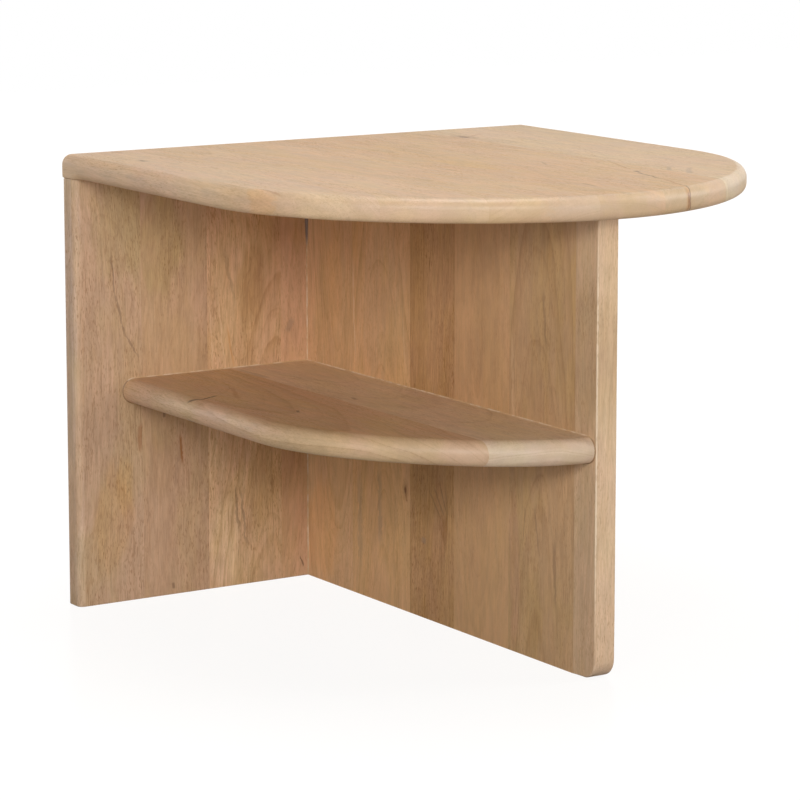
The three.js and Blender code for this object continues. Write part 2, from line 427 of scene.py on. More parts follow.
def bowed_side(left, back, side_length, front, handle_share):
    """A straight side from the back towards the front, and the quarter curve that follows it."""
    side_end = (left, back - side_length)
    side, side_in = straight((left, back), side_end, (1, 0), SIDE_STEPS)
    curve, curve_in = quarter_curve(side_end, front, handle_share, CURVE_STEPS)
    return np.concatenate([side[:-1], curve]), np.concatenate([side_in[:-1], curve_in])


def round_corner(middle, radius, start, steps):
    """A quarter circle counter-clockwise from the start angle. The way in is to the middle."""
    angle = start + np.linspace(0, math.pi / 2, steps + 1)
    outward = np.stack([np.cos(angle), np.sin(angle)], axis=1)
    return np.array(middle) + outward * radius, -outward


def smooth_rise(x, low, high):
    """0 below low, 1 above high, and the smooth cubic 3t^2 - 2t^3 between them."""
    t = np.clip((x - low) / (high - low), 0, 1)
    return t * t * (3 - 2 * t)


def hand_sanded(points, strength):
    """How much a hand-sanded round differs from its drawing: 1, plus three sine waves of the length gone,
    which are about 15, 6 and 3 centimetres long."""
    gone = np.concatenate([[0], np.cumsum(np.linalg.norm(np.diff(points, axis=0), axis=1))])
    waves = np.sin(gone * 41 + 1.0) + 0.7 * np.sin(gone * 97 + 2.3) + 0.5 * np.sin(gone * 211 + 0.4)
    return 1 + strength * waves / 2.2


# %% Edge profile and the carried surface
ROUND_STEPS = 10
RIM = 2.5 * MM
SAME_STEP = 1e-7


def edge_profile(thickness, lower_round, upper_round):
    """Heights up a slab's edge, and how far each round draws the outline in there. At an angle a, a round of
    radius r is at height r(1 - cos a) from its face and draws in r(1 - sin a), and a rim ring lies flat
    beside it. The last row holds sin a, which is 0 on the two faces and 1 on the upright edge."""
    a = np.linspace(0, math.pi / 2, ROUND_STEPS + 1)
    b, still = a[::-1], np.zeros_like(a)
    z = [[0], lower_round * (1 - np.cos(a)), thickness - upper_round * (1 - np.cos(b)), [thickness]]
    low = [[lower_round + RIM], lower_round * (1 - np.sin(a)), still, [0]]
    high = [[0], still, upper_round * (1 - np.sin(b)), [upper_round + RIM]]
    profile = np.stack([np.concatenate(row) for row in (z, low, high, [[0], np.sin(a), np.sin(b), [0]])])
    change = np.abs(np.diff(profile[:3])).sum(axis=0)
    return profile[:, np.concatenate([[True], change > SAME_STEP])]


def carried_slab(points, inward, lower_share, upper_share, profile, base):
    """Point (k, i) is outline point i at the height of profile step k, moved in by that step times the
    point's share of the round. Returns the grid as (steps, points, 3)."""
    z, low, high, _ = (part[:, None] for part in profile)
    draw = low * lower_share + high * upper_share
    plan = points + inward * draw[:, :, None]
    return np.concatenate([plan, np.broadcast_to(z[:, :, None] + base, (*draw.shape, 1))], axis=2)


def closed_mesh(name, grid, sanded_and_lit):
    """Joins rings of points into a closed surface, with quads between rings and a flat face on either rim.
    sanded_and_lit is kept on every point: 0 on the flats, and up to 1 on a ridge rounded by hand. It pales
    the wood as wear and also as a painted highlight on the rounds."""
    rings, count, _ = grid.shape
    index = np.arange(rings * count).reshape(rings, count)
    ahead = np.roll(index, -1, axis=1)
    quads = np.stack([index[:-1], ahead[:-1], ahead[1:], index[1:]], axis=-1).reshape(-1, 4)
    faces = quads.tolist() + [index[0][::-1].tolist(), index[-1].tolist()]
    mesh = bpy.data.meshes.new(name)
    mesh.from_pydata(grid.reshape(-1, 3).tolist(), [], faces)
    kept = mesh.attributes.new("sanded_and_lit", "FLOAT", "POINT")
    kept.data.foreach_set("value", np.broadcast_to(sanded_and_lit, (rings, count)).astype(np.float32).ravel())
    mesh.update()
    return mesh


# %% [markdown]
# ## Sawing a slab into its boards
#
# On the bench the boards are glued first and shaped afterwards, so the rounded edge runs over the joints
# without a step. The same order is kept here: the whole slab is cut by planes, and each cut is closed.

# %% Sawing
SAME_POINT = 1e-8
CRISP_ANGLE = math.radians(32)


def sawn_slab(family, axis, grid, sanded_and_lit):
    """Makes a slab's closed surface and copies it once for each board, in order along the axis. Each copy
    keeps what lies between the board's two joint planes, less a glue film on either side."""
    mesh = closed_mesh(family, grid, sanded_and_lit)
    normal = Vector([float(i == axis) for i in range(3)])
    nodes = sorted(boards_of(family), key=lambda name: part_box(name)[0][axis])
    joints = joints_of(family, axis)
    pieces = {}
    for node, low, high in zip(nodes, [None, *joints], [*joints, None], strict=True):
        bm = bmesh.new()
        bm.from_mesh(mesh)
        for edge, way in ((low, -1), (high, 1)):
            if edge is None:
                continue
            every = bm.verts[:] + bm.edges[:] + bm.faces[:]
            spot = normal * (edge - way * GLUE_FILM)
            bmesh.ops.bisect_plane(
                bm, geom=every, plane_co=spot, plane_no=normal * way, clear_outer=True, dist=SAME_POINT
            )
            rim = [e for e in bm.edges if e.is_boundary]
            bmesh.ops.holes_fill(bm, edges=rim, sides=0)
        bmesh.ops.recalc_face_normals(bm, faces=bm.faces[:])
        cut = bpy.data.meshes.new(node + "_wood")
        bm.to_mesh(cut)
        bm.free()
        pieces[node] = finished_piece(node + "_wood", cut)
    print(family, "is sawn into", len(pieces), "boards")
    return pieces


def finished_piece(name, mesh):
    """Puts a mesh in the scene with smooth rounds and crisp corners."""
    mesh.shade_smooth()
    mesh.set_sharp_from_angle(angle=CRISP_ANGLE)
    return put_in_scene(name, mesh)


def mark_end_grain(mesh, along):
    """Keeps on every face corner how far its normal points along the grain: 1 on an end, 0 on a side."""
    normals = np.empty(len(mesh.loops) * 3, np.float32)
    mesh.corner_normals.foreach_get("vector", normals)
    attribute = mesh.attributes.new("end_grain", "FLOAT", "CORNER")
    attribute.data.foreach_set("value", np.abs(normals.reshape(-1, 3)[:, along]))


# %% [markdown]
# ## The wood
#
# The table is one species: a pale hardwood with soft rings, short dark pores and small knots, from honey to
# rose to olive. A picture of wood would stretch on the edges, so each board has a tree inside it: its rings
# are circles round a heart line behind the board. The face shows arches or stripes, the ends show arcs, and
# they meet at the corners. In the groups X is across a board, Y goes through it and Z runs along its grain.

# %% Group: grain that sways
@node_group("Grain flow", Bent=VECTOR)
def grain_flow(place: VECTOR, offset: VECTOR, sway: NUMBER, pushed: NUMBER):
    """Moves a place sideways before anything is drawn there, so that rings, fibres and pores bend together:
    by slow noise of the reach Sway, quicker noise of a sixth of it, a fine tremble, and what knots push
    aside. Through the board it is six tenths of that."""
    seeded = place + offset
    slow = swing(seeded, (5, 5, 2.6), sway)
    quick = swing(seeded, (24, 24, 9), sway * 0.17)
    tremble = swing(seeded, (120, 120, 34), 1.6 * MM)
    move = slow + quick + (tremble + pushed)
    return place + vector_of(move, move * 0.6)


# %% Group: growth rings round a heart line
@node_group("Growth rings", Line=NUMBER, Band=NUMBER)
def growth_rings(bent: VECTOR, offset: VECTOR, heart_across: NUMBER, heart_depth: NUMBER, lean: NUMBER,
                 rings: NUMBER, wander: NUMBER, pull: NUMBER):
    """The distance from the heart line counts the rings. Within a ring the wood darkens as the fifth power
    of the way across and falls back at once, as late wood does before spring, and each ring has its own
    strength. Slower noise of that distance gives broad bands."""
    x, y, z = parts(bent)
    across = x - heart_across
    depth = y - (z * lean + heart_depth)
    wandered = swing(bent + offset, (11, 11, 3.2), wander, 2.0)
    turn = (step("SQRT", across * across + depth * depth) + (wandered + pull)) * rings
    flat = {"noise_dimensions": "1D"}
    jitter = add(turn.tree, "TexNoise", 0, flat, W=turn, Scale=0.6, Detail=1.0)
    count = jitter * 2.4 + turn
    part = step("FRACT", count)
    late = part**5.0 * ease(part, 1.0, 0.9)
    lot = add(turn.tree, "TexWhiteNoise", "Value", flat, W=step("FLOOR", count))
    band = add(turn.tree, "TexNoise", 0, flat, W=turn, Scale=0.27, Detail=2.0, Roughness=0.6)
    return late * (lot * 1.3 + 0.3), ease(band, 0.34, 0.66)


# %% Group: fibres, pores and clouds of tone
@node_group("Fibres and pores", Fibre=NUMBER, Pore=NUMBER, Mottle=NUMBER, Cloud=NUMBER, Veil=NUMBER)
def fibres_and_pores(bent: VECTOR, offset: VECTOR):
    """Fibres are noise drawn out twenty to forty times along the board. Pores are its sharp ends, as short
    dashes and longer scratches, in patches. The mottle is the cross-shimmer of leaning fibres, and the cloud
    and the veil are slow changes of tone."""
    seeded = bent + offset
    fibre = noise(seeded, (420, 420, 10), 2, 0.6) * 0.5 + noise(seeded, (1100, 1100, 50), 1, 0.6) * 0.5
    dash = ease(noise(seeded, (1150, 1150, 160), 1), 0.56, 0.68)
    scratch = ease(noise(seeded, (700, 700, 22), 1), 0.58, 0.72)
    patch = ease(noise(seeded, (26, 26, 8), 1), 0.32, 0.62)
    pore = step("MAXIMUM", dash, scratch * 0.7) * (patch * 0.7 + 0.3)
    mottle = ease(noise(seeded, (120, 120, 30), 3, 0.65), 0.3, 0.7)
    cloud = ease(noise(seeded, (21, 21, 9), 2, 0.6), 0.36, 0.64)
    veil = ease(noise(seeded, (70, 70, 7), 2, 0.6), 0.36, 0.64)
    return ease(fibre, 0.38, 0.62), pore, mottle, cloud, veil


# %% Group: one knot
@node_group("Knot", Pull=NUMBER, Pushed=NUMBER, Core=NUMBER, Halo=NUMBER)
def knot(place: VECTOR, spot: VECTOR, size: NUMBER):
    """A knot is an oval spot twice as long as wide, because it is cut slantwise, dark in its Core. Round it
    the rings bulge by the bell curve Pull, and Pushed moves the grain aside to flow round."""
    away = (place - spot) * (1, 0, 0.5)
    apart = step("LENGTH", away) / size
    bell = 0.86 ** (apart * apart)
    ragged = apart + swing(place, (330, 330, 150), 1.1)
    pushed = parts(away)[0] * (bell * -0.7)
    return bell * (size * 1.3), pushed, ease(ragged, 1.1, 0.5), ease(ragged, 3.2, 0.6)


# %% Group: a streak or a crack between two points
@node_group("Streak", Mask=NUMBER)
def streak(place: VECTOR, start: VECTOR, end: VECTOR, width: NUMBER, wobble: NUMBER):
    """Finds the nearest point of the straight line from Start to End and fades over Width from it. Noise of
    the reach Wobble bends the line, it tapers at both ends, and its width comes and goes."""
    way = end - start
    gone = place * (1, 0, 1) + vector_of(swing(place, (55, 55, 55), wobble, 2.0)) - start
    share = step("DOT_PRODUCT", gone, way) / step("DOT_PRODUCT", way, way)
    held = step("MINIMUM", step("MAXIMUM", share, 0.0), 1.0)
    apart = step("LENGTH", gone - way * held)
    taper = ease(share, -0.05, 0.25) * ease(share, 1.05, 0.75)
    broken = ease(noise(place, (280, 280, 130), 1), 0.32, 0.5)
    near = 1.0 - apart / (width * (broken * 0.6 + 0.4))
    return ease(near, 0.0, 0.6) * taper


# %% Group: a patch of other tone
@node_group("Tone patch", Mask=NUMBER)
def tone_patch(bent: VECTOR, spot: VECTOR, half: VECTOR, fray: NUMBER):
    """An oval with half sizes given by Half, whose rim is frayed by noise drawn out along the grain."""
    apart = step("LENGTH", (bent - spot) / half * (1, 0, 1))
    return ease(apart + swing(bent, (160, 160, 24), fray, 2.0), 1.2, 0.7)


# %% Group: the colour of a board
ROSY, MOSSY, DEEP = (1.01, 0.95, 1.03), (0.97, 0.96, 0.83), (0.62, 0.52, 0.42)
# The pale tint of sanded ridges also paints in their highlight.
RUBBED_AND_LIT, OILED_END = (1.12, 1.20, 1.32), (0.87, 0.885, 0.94)


@node_group("Board colour", Color=COLOUR, Roughness=NUMBER, Height=NUMBER)
def board_colour(tone: COLOUR, blush: NUMBER, olive: NUMBER, figure: NUMBER, grain: NUMBER, line: NUMBER,
                 band: NUMBER, fibre: NUMBER, pore: NUMBER, mottle: NUMBER, cloud: NUMBER, veil: NUMBER,
                 sanded_and_lit: NUMBER, end: NUMBER):
    """The tone wanders to a rosy and a mossy cousin, and bands, rings, fibres and pores darken it, more in
    blue than in red. Ridges that are sanded and lit are paler and smoother, paler partly from wear and
    partly as a painted highlight. An end is darker and greyer, because it drinks more oil, and shows its
    pores less."""
    colour = blend(cloud * blush, tone, tinted(tone, ROSY))
    colour = blend((veil * 0.6 + (0.4 - cloud)) * olive, colour, tinted(tone, MOSSY))
    deep = tinted(colour, DEEP)
    thread = 1.0 - fibre
    lines = line * (thread * 0.5 + 0.5) * 0.85 + band * 0.32
    colour = blend(lines * figure, colour, deep)
    marks = pore * 0.75 + thread * 0.34
    colour = blend(marks * (grain * (end * -0.85 + 1.0)), colour, deep)
    colour = tinted(colour, (mottle - 0.5) * (end * -0.09 + 0.14) + 1.0)
    # Paler where sanded and lit: wear, and a painted highlight on the rounds.
    colour = tinted(colour, RUBBED_AND_LIT, sanded_and_lit)
    colour = tinted(colour, OILED_END, end)
    roughness = pore * 0.22 + (sanded_and_lit * -0.20 + 0.46) + mottle * 0.08
    return colour, roughness, pore * -0.8 + fibre


print("wood groups:", [group.name for group in bpy.data.node_groups])


# %% [markdown]
# ## From groups to a board's finish
#
# A board's material says which way its grain runs, where its heart line lies, which pigments it is mixed
# from and what marks it has, in millimetres from two edges as on the bench. The satin is on the shader
# itself: a little rough, with the weak mirror of a thin oil coat.

# %% Pigments
PIGMENTS = {
    "honey": (0.67, 0.466, 0.268),
    "rose": (0.66, 0.420, 0.248),
    "amber": (0.69, 0.418, 0.203),
    "olive": (0.60, 0.440, 0.222),
    "cream": (0.76, 0.61, 0.45),
    "umber": (0.36, 0.20, 0.105),
}
SOOT = (0.085, 0.05, 0.035)
RUST = (0.36, 0.125, 0.035)
BARK = (0.20, 0.105, 0.055)
ASH = (0.30, 0.215, 0.16)
STRAW = (0.84, 0.62, 0.38)
FLAME = (0.66, 0.32, 0.10)
# The next tint is the pale line down the centre panel's front arris: partly wear, partly a painted
# highlight.
ARRIS_WEAR_AND_HIGHLIGHT = (0.88, 0.70, 0.50)
PITH = (0.15, 0.06, 0.025)
HALO = (0.32, 0.155, 0.07)


def mixed(depth, **weights):
    """A weighted mean of pigments, times a depth of tone: 1 is as written and less is darker."""
    pigments = [PIGMENTS[name] for name in weights]
    return tuple(depth * np.average(pigments, axis=0, weights=list(weights.values())))


# %% The board material
# across, through and along a board, as indices of X, Y and Z
ALONG_X, ALONG_Y, ALONG_Z, ALONG_Z_SIDEWAYS = (1, 2, 0), (0, 2, 1), (0, 1, 2), (1, 0, 2)


def board_wood(name, axes, seed, tone, mark_at=None, blush=0.6, olive=0.5, figure=0.5, grain=0.6,
               heart=(0.0, 0.08), lean=0.1, rings=170.0, wander=0.012, sway=0.03, knots=(), streaks=(),
               patches=()):
    """The finish of one board. heart is where the heart line lies across and behind the board, in metres.
    Marks are set out in millimetres as mark_at takes them: a knot is (u, v, size), a streak is (u, v, end u,
    end v, width, wobble, colour, strength), and a patch is (u, v, half across, half along, fray, tint,
    strength)."""
    material, tree, principled = new_material(name)
    here = parts(add(tree, "TexCoord", "Object"))
    place = vector_of(*[here[axis] for axis in axes])
    offset = tuple(np.random.default_rng(seed).uniform(-5, 5, 3))

    def spot(u, v):
        point = mark_at(u, v)
        return (point[axes[0]], 0.0, point[axes[2]])

    spots = [knot(place, spot(u, v), size * MM) for u, v, size in knots]
    pull, pushed = sum(wires[0] for wires in spots), sum(wires[1] for wires in spots)
    bent = grain_flow(place, offset, sway, pushed)
    ring_marks = growth_rings(bent, offset, *heart, lean, rings, wander, pull)
    fibre_marks = fibres_and_pores(bent, offset)
    sanded_and_lit = add(tree, "Attribute", "Fac", {"attribute_name": "sanded_and_lit"})
    end = add(tree, "Attribute", "Fac", {"attribute_name": "end_grain"})
    look = (tone, blush, olive, figure, grain)
    colour, roughness, height = board_colour(*look, *ring_marks, *fibre_marks, sanded_and_lit, end)
    for u, v, half_across, half_along, fray, tint, strength in patches:
        mask = tone_patch(bent, spot(u, v), (half_across * MM, 1.0, half_along * MM), fray)
        colour = tinted(colour, tint, mask * strength)
    for _, _, core, halo in spots:
        colour = blend(halo * 0.45, colour, HALO)
        colour = blend(core * 0.8, colour, PITH)
    for u, v, end_u, end_v, width, wobble, tint, strength in streaks:
        mask = streak(place, spot(u, v), spot(end_u, end_v), width * MM, wobble * MM)
        colour = blend(mask * strength, colour, tint)
    plug(principled.inputs["Base Color"], colour)
    plug(principled.inputs["Roughness"], roughness)
    principled.inputs["Specular IOR Level"].default_value = 0.42
    bump = add(tree, "Bump", Strength=0.2, Distance=0.2 * MM, Height=height)
    plug(principled.inputs["Normal"], bump)
    return material


def finish_boards(pieces, woods, axes, slot, first_seed, mark_at, **common):
    """Gives each board of a slab its own material, from the slab's common settings and the board's own."""
    for seed, (node, wood) in enumerate(zip(sorted(pieces), woods, strict=True), first_seed):
        piece = pieces[node]
        mark_end_grain(piece.data, axes[2])
        settings = {**common, **wood}
        material = board_wood(node.replace("_", " "), axes, seed, mark_at=mark_at, **settings)
        piece.data.materials.append(material)
        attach(piece, "root")
        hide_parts(node)
    print(slot, "finishes:", len(pieces))


# %% [markdown]
# ## The top
#
# The D has straight sides for a little over half its depth, and one fair curve round the front. The under
# edge is rounded only where it hangs free, because the router can't run where the top lies on the back
# panel.

# %% Top surface
BACK_EASE = 0.08
TOP_WAVER = 0.05
# These two keep the pale tint off the upright and the lower round of the edge: less wear there, and painted
# shade.
UPRIGHT_LESS_WORN_AND_LIT = 0.28
UNDER_WORN_AND_LIT = 0.3


def top_grid():
    """The outline runs down the left side, round the front and up the right side. At the two back corners
    the way in also points forward a little, which eases the flat back edge. Returns the grid and how far it
    is sanded and lit: all over the upper round, a little less where it is upright, a third as much on the
    lower round, and a tenth as much where the edge faces left. Besides wear this is painted light: a
    highlight on the upper round, and painted shade on the upright, the lower round and the left side."""
    front = (0, TOP_LOW[1])
    half, half_in = bowed_side(TOP_LOW[0], TOP_HIGH[1], TOP_SIDE_LENGTH, front, TOP_HANDLE_SHARE)
    half_in[0] = (1, -BACK_EASE)
    mirror = np.array([-1, 1])
    points = np.concatenate([half, half[-2::-1] * mirror])
    inward = np.concatenate([half_in, half_in[-2::-1] * mirror])
    free = smooth_rise(-points[:, 1], -BACK_LOW[1], -BACK_LOW[1] + UNDER_ROUND_FADE)
    under = ARRIS / TOP_UNDER_ROUND + (1 - ARRIS / TOP_UNDER_ROUND) * free
    profile = edge_profile(TOP_HIGH[2] - TOP_LOW[2], TOP_UNDER_ROUND, TOP_UPPER_ROUND)
    grid = carried_slab(points, inward, under, hand_sanded(points, TOP_WAVER), profile, TOP_LOW[2])
    # The pale tint fades where the edge faces left, which paints shade on that side.
    leftward = np.clip(inward[:, 0], 0, 1) ** 4
    heights, _, _, upright = profile
    upper_worn_and_lit = upright**0.2 * (1 - UPRIGHT_LESS_WORN_AND_LIT * upright**2)
    worn_and_lit = np.where(heights > TOP_UNDER_ROUND + 1 * MM, upper_worn_and_lit, UNDER_WORN_AND_LIT * upright)
    return grid, worn_and_lit[:, None] * (1 - 0.9 * leftward)


top_boards = sawn_slab("top", 0, *top_grid())


# %% Top finishes
def from_above(u, v):
    """A mark seen from above, in millimetres from the top's left side and from its flat back edge."""
    return (TOP_LOW[0] + u * MM, TOP_HIGH[1] - v * MM, TOP_HIGH[2])


TOP_WOODS = [
    dict(tone=mixed(1.02, amber=3, cream=2), heart=(-0.4, 0.4),
         knots=[(43, 104, 2.4)],
         streaks=[(17, 384, 25, 428, 1.3, 5, RUST, 0.35)],
         patches=[(58, 14, 5, 14, 0.6, (0.8, 0.7, 0.64), 0.8),
             (2, 120, 8, 130, 0.4, (0.92, 0.88, 0.87), 0.9), (14, 406, 8, 22, 1.6, (1.04, 0.92, 0.74), 0.6),
             (42, 472, 18, 40, 0.9, (1.07, 1.09, 1.09), 0.9)]),
    dict(tone=mixed(1.08, honey=2, rose=1), heart=(-0.17, 0.39),
         patches=[(130, 568, 34, 14, 0.8, (0.94, 0.95, 0.92), 0.9)]),
    dict(tone=mixed(1.03, honey=2, amber=1), heart=(-0.02, 0.37),
         knots=[(282, 337, 5.0)],
         patches=[(240, 622, 50, 18, 1.2, (0.95, 1.0, 1.07), 0.8)]),
    dict(tone=mixed(1.0, honey=1, amber=1), heart=(-0.03, 0.36), olive=0.5,
         streaks=[(320, 520, 315, 556, 3, 5, BARK, 0.35)],
         patches=[(322, 320, 16, 60, 0.8, (1.0, 0.98, 0.84), 0.8),
             (298, 626, 44, 14, 1.2, (0.94, 0.98, 1.05), 0.8)]),
    dict(tone=mixed(1.02, honey=2, amber=1), heart=(0.16, 0.39),
         knots=[(386, 613, 1.5)],
         streaks=[(458, 380, 432, 452, 2.2, 5, RUST, 0.4), (429, 462, 425, 478, 3.4, 3, BARK, 0.8),
             (425, 474, 407, 540, 1.9, 7, BARK, 0.8), (413, 528, 394, 590, 1.8, 6, RUST, 0.5),
             (394, 570, 381, 640, 4.5, 5, FLAME, 0.25), (395, 580, 384, 636, 1.2, 4, BARK, 0.75),
             (397, 338, 384, 370, 2.0, 3, BARK, 0.35)],
         # This patch darkens the front of the top's edge: painted shade.
         patches=[(395, 614, 52, 16, 1.0, (0.87, 0.88, 0.89), 0.8)]),
    dict(tone=mixed(1.06, honey=5, cream=1), heart=(0.25, 0.52),
         knots=[(469, 84, 4.2)],
         streaks=[(471, 88, 512, 58, 4, 10, RUST, 0.22), (483, 450, 462, 480, 4, 6, ASH, 0.4),
             (500, 465, 455, 520, 5, 8, ASH, 0.3)],
         patches=[(478, 574, 30, 30, 1.0, (1.02, 1.08, 1.07), 0.9)]),
    dict(tone=mixed(1.02, honey=5, cream=1), heart=(0.33, 0.4)),
]
TOP_LOOK = {"figure": 0.4, "grain": 0.65, "blush": 0.5, "olive": 0.35}
finish_boards(top_boards, TOP_WOODS, ALONG_Y, "top_wood", 11, from_above, **TOP_LOOK)


# %% [markdown]
# ## The back panel
#
# Seen from above the back panel is a long rectangle with eased upright corners, soft in front, where a hand
# meets them, and tighter behind. So the outline is the plan and the profile is the height, with a fine arris
# at the floor and under the top, a little larger at the two ends.

# %% Back panel surface
CORNER_STEPS = 8
CORNER_SANDED_AND_LIT = 0.6


def back_grid():
    """Four quarter circles, with a point just past each circle's ends so that the faces between shade flat.
    Returns the grid and how far it is sanded and lit, which is only on the rounded corners: wear, and a
    painted highlight down each corner."""
    low, high = BACK_LOW, BACK_HIGH
    corners = [
        ((low[0], low[1]), PANEL_FRONT_ROUND, math.pi),
        ((high[0], low[1]), PANEL_FRONT_ROUND, math.pi * 1.5),
        ((high[0], high[1]), PANEL_BACK_ROUND, 0.0),
        ((low[0], high[1]), PANEL_BACK_ROUND, math.pi / 2),
    ]
    points, inward, sanded_and_lit = [], [], []
    for (x, y), radius, start in corners:
        middle = (x - math.copysign(radius, x), y + radius if y == low[1] else y - radius)
        arc, arc_in = round_corner(middle, radius, start, CORNER_STEPS)
        before = arc[:1] + np.array([[-math.sin(start), math.cos(start)]]) * -RIM
        after = arc[-1:] + np.array([[-math.cos(start), -math.sin(start)]]) * RIM
        points += [before, arc, after]
        inward += [arc_in[:1], arc_in, arc_in[-1:]]
        sanded_and_lit += [0, *([CORNER_SANDED_AND_LIT] * (CORNER_STEPS + 1)), 0]
    points, inward = np.concatenate(points), np.concatenate(inward)
    least = ARRIS / END_ARRIS
    share = least + (1 - least) * inward[:, 0] ** 2
    profile = edge_profile(high[2] - low[2], END_ARRIS, END_ARRIS)
    return carried_slab(points, inward, share, share, profile, low[2]), np.array(sanded_and_lit, float)


back_boards = sawn_slab("back_panel", 0, *back_grid())


# %% Back panel finishes
def on_back(u, z):
    """A mark on the back panel's front face, in millimetres from its left end and from the floor."""
    return (BACK_LOW[0] + u * MM, BACK_LOW[1], z * MM)


BACK_WOODS = [
    dict(tone=mixed(0.92, rose=1, amber=1, cream=1), heart=(-0.262, 0.24), lean=-0.08, rings=150.0,
         sway=0.05, grain=1.1,
         streaks=[(44, 395, 50, 335, 1.7, 4, BARK, 0.5), (49, 345, 62, 296, 1.8, 4, BARK, 0.5),
             (60, 302, 79, 272, 1.8, 3, BARK, 0.45), (33, 400, 37, 330, 1.2, 4, BARK, 0.2),
             (79, 202, 78, 165, 3.0, 4, RUST, 0.5)],
         patches=[(45, 95, 26, 60, 0.7, (1.0, 0.93, 0.8), 0.8),
             (62, 420, 40, 60, 0.9, (0.86, 0.9, 0.76), 0.7),
             (60, 130, 12, 34, 0.8, (1.06, 1.04, 0.92), 0.8),
             (0, 250, 4, 400, 0.1, (1.0, 0.97, 0.9), 0.9)]),
    dict(tone=mixed(0.945, rose=10, honey=4, cream=1), heart=(-0.1, 0.42), olive=0.55, figure=0.45,
         grain=0.95,
         streaks=[(109, 209, 109, 202, 2.4, 1, BARK, 0.6), (118, 14, 119, 6, 2.4, 1, BARK, 0.6),
             (129, 182, 132, 146, 2.2, 3, RUST, 0.75), (126, 160, 122, 120, 4, 6, BARK, 0.25)],
         patches=[(108, 400, 26, 60, 0.9, (0.88, 0.92, 0.76), 0.8),
             (106, 150, 18, 40, 1.2, (0.86, 0.84, 0.76), 0.6)]),
    dict(tone=mixed(1.18, honey=3, rose=1), heart=(-0.058, 0.33), figure=0.85, grain=1.3, sway=0.06,
         rings=190.0,
         streaks=[(167, 335, 172, 250, 1.6, 6, STRAW, 0.45), (178, 340, 187, 252, 1.6, 6, STRAW, 0.45),
             (190, 300, 199, 248, 1.4, 4, FLAME, 0.5), (186, 388, 201, 320, 4.0, 9, BARK, 0.25),
             (166, 218, 168, 110, 1.8, 7, STRAW, 0.45), (177, 195, 173, 130, 1.6, 7, STRAW, 0.4),
             (187, 180, 181, 118, 1.6, 7, STRAW, 0.35), (198, 118, 205, 60, 2.4, 10, BARK, 0.45),
             (206, 112, 214, 40, 2.2, 10, BARK, 0.4)],
         patches=[(184, 52, 20, 54, 0.9, (1.16, 1.24, 1.32), 0.95),
             (216, 345, 20, 48, 1.2, (0.8, 0.74, 0.66), 0.8),
             (235, 120, 22, 50, 1.4, (0.84, 0.8, 0.7), 0.7)]),
    dict(tone=mixed(1.11, rose=1), heart=(0.1, 0.42),
         streaks=[(284, 24, 289, 10, 1.8, 2, BARK, 0.8), (276, 300, 268, 284, 5, 4, ASH, 0.35)],
         patches=[(272, 110, 34, 90, 0.8, (0.95, 0.93, 0.88), 0.9),
             (272, 380, 34, 90, 0.8, (1.03, 1.07, 1.08), 0.9)]),
    dict(tone=mixed(0.97, honey=2, olive=1), heart=(0.06, 0.36)),
    dict(tone=mixed(0.94, olive=1, honey=2), heart=(0.16, 0.4), figure=0.6),
    dict(tone=mixed(0.98, honey=2, rose=1), heart=(0.33, 0.33)),
]
finish_boards(back_boards, BACK_WOODS, ALONG_Z, "panel_wood", 31, on_back, lean=0.12)


# %% [markdown]
# ## The centre panel
#
# From the side the centre panel is a rectangle whose bottom front corner is round, and its front edges are
# eased by hand. The outline is drawn in the side view, and swapping the axes stands the surface up, which
# turns nothing and so keeps every size exact.

# %% Centre panel surface
FOOT_STEPS = 16
HEIGHT_STEPS = 60
SOLE_STEPS = 6
CENTRE_WAVER = 0.2
FRONT_SANDED_AND_LIT = 0.5
RIDGE_SANDED_AND_LIT = 0.9


def centre_grid():
    """The outline runs down the front edge, round the foot and back along the floor, in the plane of Y and
    Z. Returns the grid and how far it is sanded and lit: a little on the front, as sin a says, and most on
    the ridges beside it, as the square of sin 2a says. The pale ridges are partly wear and partly a painted
    highlight line along each arris."""
    low, high = CENTRE_LOW, CENTRE_HIGH
    foot_middle = (low[1] + CENTRE_FOOT_RADIUS, low[2] + CENTRE_FOOT_RADIUS)
    front, front_in = straight((low[1], high[2]), (low[1], foot_middle[1]), (1, 0), HEIGHT_STEPS)
    foot, foot_in = round_corner(foot_middle, CENTRE_FOOT_RADIUS, math.pi, FOOT_STEPS)
    fade_end = foot_middle[0] + CENTRE_FOOT_FADE
    sole, sole_in = straight((foot_middle[0], low[2]), (fade_end, low[2]), (0, 1), SOLE_STEPS)
    rear = np.array([(high[1], low[2]), (high[1], high[2])])
    points = np.concatenate([front[:-1], foot, sole[1:], rear])
    inward = np.concatenate([front_in[:-1], foot_in, sole_in[1:], np.zeros((2, 2))])
    eased = 1 - smooth_rise(points[:, 0], foot_middle[0], fade_end)
    share = hand_sanded(points, CENTRE_WAVER) * eased
    profile = edge_profile(high[0] - low[0], CENTRE_EDGE_ROUND, CENTRE_EDGE_ROUND)
    grid = carried_slab(points, inward, share, share, profile, low[0])
    upright = profile[3][:, None]
    ridge = RIDGE_SANDED_AND_LIT * 4 * upright**2 * (1 - upright**2)
    sanded_and_lit = np.maximum(FRONT_SANDED_AND_LIT * upright, ridge) * eased[None, :]
    return grid[..., [2, 0, 1]], sanded_and_lit


centre_boards = sawn_slab("centre_panel", 1, *centre_grid())


# %% Centre panel finishes
def on_centre(w, z):
    """A mark on the centre panel's left face, in millimetres from the back panel and from the floor."""
    return (CENTRE_LOW[0], BACK_LOW[1] - w * MM, z * MM)


def centre_heart(w, behind):
    """A heart line at a place across the centre panel and behind its left face, in millimetres."""
    return (BACK_LOW[1] - w * MM, CENTRE_LOW[0] + behind * MM)


